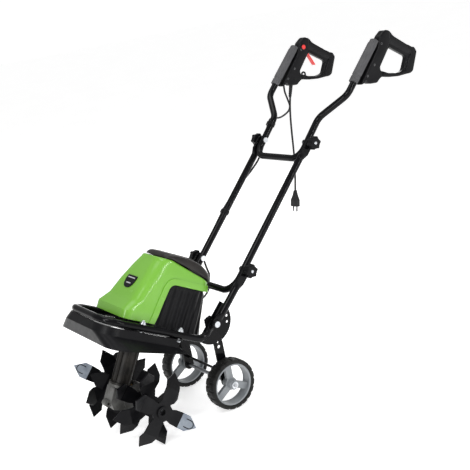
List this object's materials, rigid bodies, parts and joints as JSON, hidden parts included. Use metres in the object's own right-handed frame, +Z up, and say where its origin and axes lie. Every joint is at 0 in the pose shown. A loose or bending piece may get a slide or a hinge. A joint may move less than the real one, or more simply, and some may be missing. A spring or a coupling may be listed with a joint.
{
  "type": "mini cultivator",
  "caption": "Electric garden tiller with six bent tine stars under a guard, a worm gearbox, two swing-down wheels and a folding tubular handle with twin D grips.",
  "frame": {"origin": "on the ground under the middle of the machine's footprint box, leaving out the mains cord", "axes": "+Z up, +Y back towards the operator, +X to the operator's left as the machine is followed"},
  "size_m": [0.434, 1.2917, 1.014],
  "materials": {
    "frame_black": "satin black powder coat",
    "zinc": "bright zinc plate",
    "machined_steel": "machined and oiled",
    "tine_paint": "dark grey paint over steel plate",
    "hood_green": "lime green, semi gloss",
    "black_plastic": "fine grained black moulding",
    "grey_plastic": "blue-grey moulding",
    "red_plastic": "red moulding",
    "tyre_black": "lugged black rubber",
    "cord_black": "black rubber sheath",
    "cast_light": "light grey cast housing",
    "cast_dark": "dark grey cast column",
    "motor_steel": "laminated steel",
    "bronze": "bronze worm wheel"
  },
  "bodies": {
    "chassis": {"bumper_tube": "frame_black", "tine_guard": "black_plastic", "motor_housing": "black_plastic", "hood": "hood_green", "vent_cap": "black_plastic", "badge_plate": "black_plastic", "frame_bolts": "zinc", "gearbox_column": "cast_dark", "gear_case": "cast_light", "case_cover": "cast_light", "bearings": "machined_steel", "motor_stator": "motor_steel", "motor_plate": "motor_steel", "brush_frame": "black_plastic", "cable_gland": "black_plastic", "cable_lower": "cord_black", "pivot_bolts": "zinc"},
    "tine_rotor": {"tine_shaft": "machined_steel", "worm_wheel": "bronze", "tine_hub_left": "tine_paint", "tine_hub_right": "tine_paint", "tine_star_1_left": "tine_paint", "tine_star_1_right": "tine_paint", "tine_star_2_left": "tine_paint", "tine_star_2_right": "tine_paint", "tine_star_3_left": "tine_paint", "tine_star_3_right": "tine_paint"},
    "worm_rotor": {"worm_shaft": "machined_steel"},
    "motor_rotor": {"armature": "machined_steel", "fan": "black_plastic"},
    "wheel_carriage": {"wheel_plate_left": "frame_black", "wheel_plate_right": "frame_black", "cross_rod": "frame_black", "axle": "machined_steel", "axle_clips": "zinc"},
    "left_wheel": {"tyre_left": "tyre_black", "wheel_hub_left": "grey_plastic"},
    "right_wheel": {"tyre_right": "tyre_black", "wheel_hub_right": "grey_plastic"},
    "lower_handle": {"lower_tube_left": "frame_black", "lower_tube_right": "frame_black"},
    "middle_handle": {"middle_tube": "frame_black", "fold_bolts_low": "zinc", "cable_middle": "cord_black"},
    "upper_handle": {"upper_tube": "frame_black", "fold_bolts_high": "zinc", "grip_left": "black_plastic", "grip_right": "black_plastic", "cable_upper": "cord_black", "strain_relief": "cord_black", "mains_cord": "cord_black", "plug": "cord_black"},
    "low_knob_left": {"fold_knob_low_left": "black_plastic"},
    "low_knob_right": {"fold_knob_low_right": "black_plastic"},
    "high_knob_left": {"fold_knob_high_left": "black_plastic"},
    "high_knob_right": {"fold_knob_high_right": "black_plastic"},
    "pivot_knob_left": {"pivot_knob_left": "black_plastic"},
    "pivot_knob_right": {"pivot_knob_right": "black_plastic"},
    "trigger": {"trigger": "red_plastic"},
    "lock_button": {"lock_button": "red_plastic"}
  },
  "joints": [
    {"name": "tine_spin", "type": "hinge", "parent": "chassis", "child": "tine_rotor", "pos_m": [0, -0.52808, 0.1178], "axis": [1, 0, 0], "continuous": true},
    {"name": "worm_spin", "type": "hinge", "parent": "chassis", "child": "worm_rotor", "pos_m": [0, -0.45909, 0.33359], "axis": [0, 0.515, 0.8572], "continuous": true},
    {"name": "motor_spin", "type": "hinge", "parent": "chassis", "child": "motor_rotor", "pos_m": [0, -0.42051, 0.31041], "axis": [0, 0.515, 0.8572], "continuous": true},
    {"name": "wheel_swing", "type": "hinge", "parent": "chassis", "child": "wheel_carriage", "pos_m": [0, -0.2652, 0.281], "axis": [1, 0, 0], "range_deg": [0, 50]},
    {"name": "left_wheel_spin", "type": "hinge", "parent": "wheel_carriage", "child": "left_wheel", "pos_m": [0.132, -0.2602, 0.08], "axis": [1, 0, 0], "continuous": true},
    {"name": "right_wheel_spin", "type": "hinge", "parent": "wheel_carriage", "child": "right_wheel", "pos_m": [-0.132, -0.2602, 0.08], "axis": [1, 0, 0], "continuous": true},
    {"name": "handle_tilt", "type": "hinge", "parent": "chassis", "child": "lower_handle", "pos_m": [0, -0.2652, 0.281], "axis": [1, 0, 0], "range_deg": [-18, 10]},
    {"name": "handle_fold_low", "type": "hinge", "parent": "lower_handle", "child": "middle_handle", "pos_m": [0, -0.1232, 0.407], "axis": [1, 0, 0], "range_deg": [0, 90]},
    {"name": "handle_fold_high", "type": "hinge", "parent": "middle_handle", "child": "upper_handle", "pos_m": [0, 0.2068, 0.722], "axis": [1, 0, 0], "range_deg": [0, 80]},
    {"name": "low_knob_left_turn", "type": "hinge", "parent": "middle_handle", "child": "low_knob_left", "pos_m": [0.15, -0.1232, 0.407], "axis": [1, 0, 0], "continuous": true},
    {"name": "low_knob_right_turn", "type": "hinge", "parent": "middle_handle", "child": "low_knob_right", "pos_m": [-0.15, -0.1232, 0.407], "axis": [1, 0, 0], "continuous": true},
    {"name": "high_knob_left_turn", "type": "hinge", "parent": "upper_handle", "child": "high_knob_left", "pos_m": [0.145, 0.2068, 0.722], "axis": [1, 0, 0], "continuous": true},
    {"name": "high_knob_right_turn", "type": "hinge", "parent": "upper_handle", "child": "high_knob_right", "pos_m": [-0.145, 0.2068, 0.722], "axis": [1, 0, 0], "continuous": true},
    {"name": "pivot_knob_left_turn", "type": "hinge", "parent": "chassis", "child": "pivot_knob_left", "pos_m": [0.096, -0.2652, 0.281], "axis": [1, 0, 0], "continuous": true},
    {"name": "pivot_knob_right_turn", "type": "hinge", "parent": "chassis", "child": "pivot_knob_right", "pos_m": [-0.096, -0.2652, 0.281], "axis": [1, 0, 0], "continuous": true},
    {"name": "trigger_pull", "type": "hinge", "parent": "upper_handle", "child": "trigger", "pos_m": [-0.201, 0.5218, 0.962], "axis": [1, 0, 0], "range_deg": [0, 14], "stiffness_Nm_per_rad": 0.6, "springref_deg": -5.73},
    {"name": "lock_button_push", "type": "slide", "parent": "upper_handle", "child": "lock_button", "axis": [-1, 0, 0], "range_m": [0, 0.004], "stiffness_N_per_m": 500, "springref_m": -0.003}
  ],
  "couplings": [
    {"joint": "worm_spin", "follows": "tine_spin", "ratio": 30},
    {"joint": "motor_spin", "follows": "tine_spin", "ratio": -120}
  ]
}
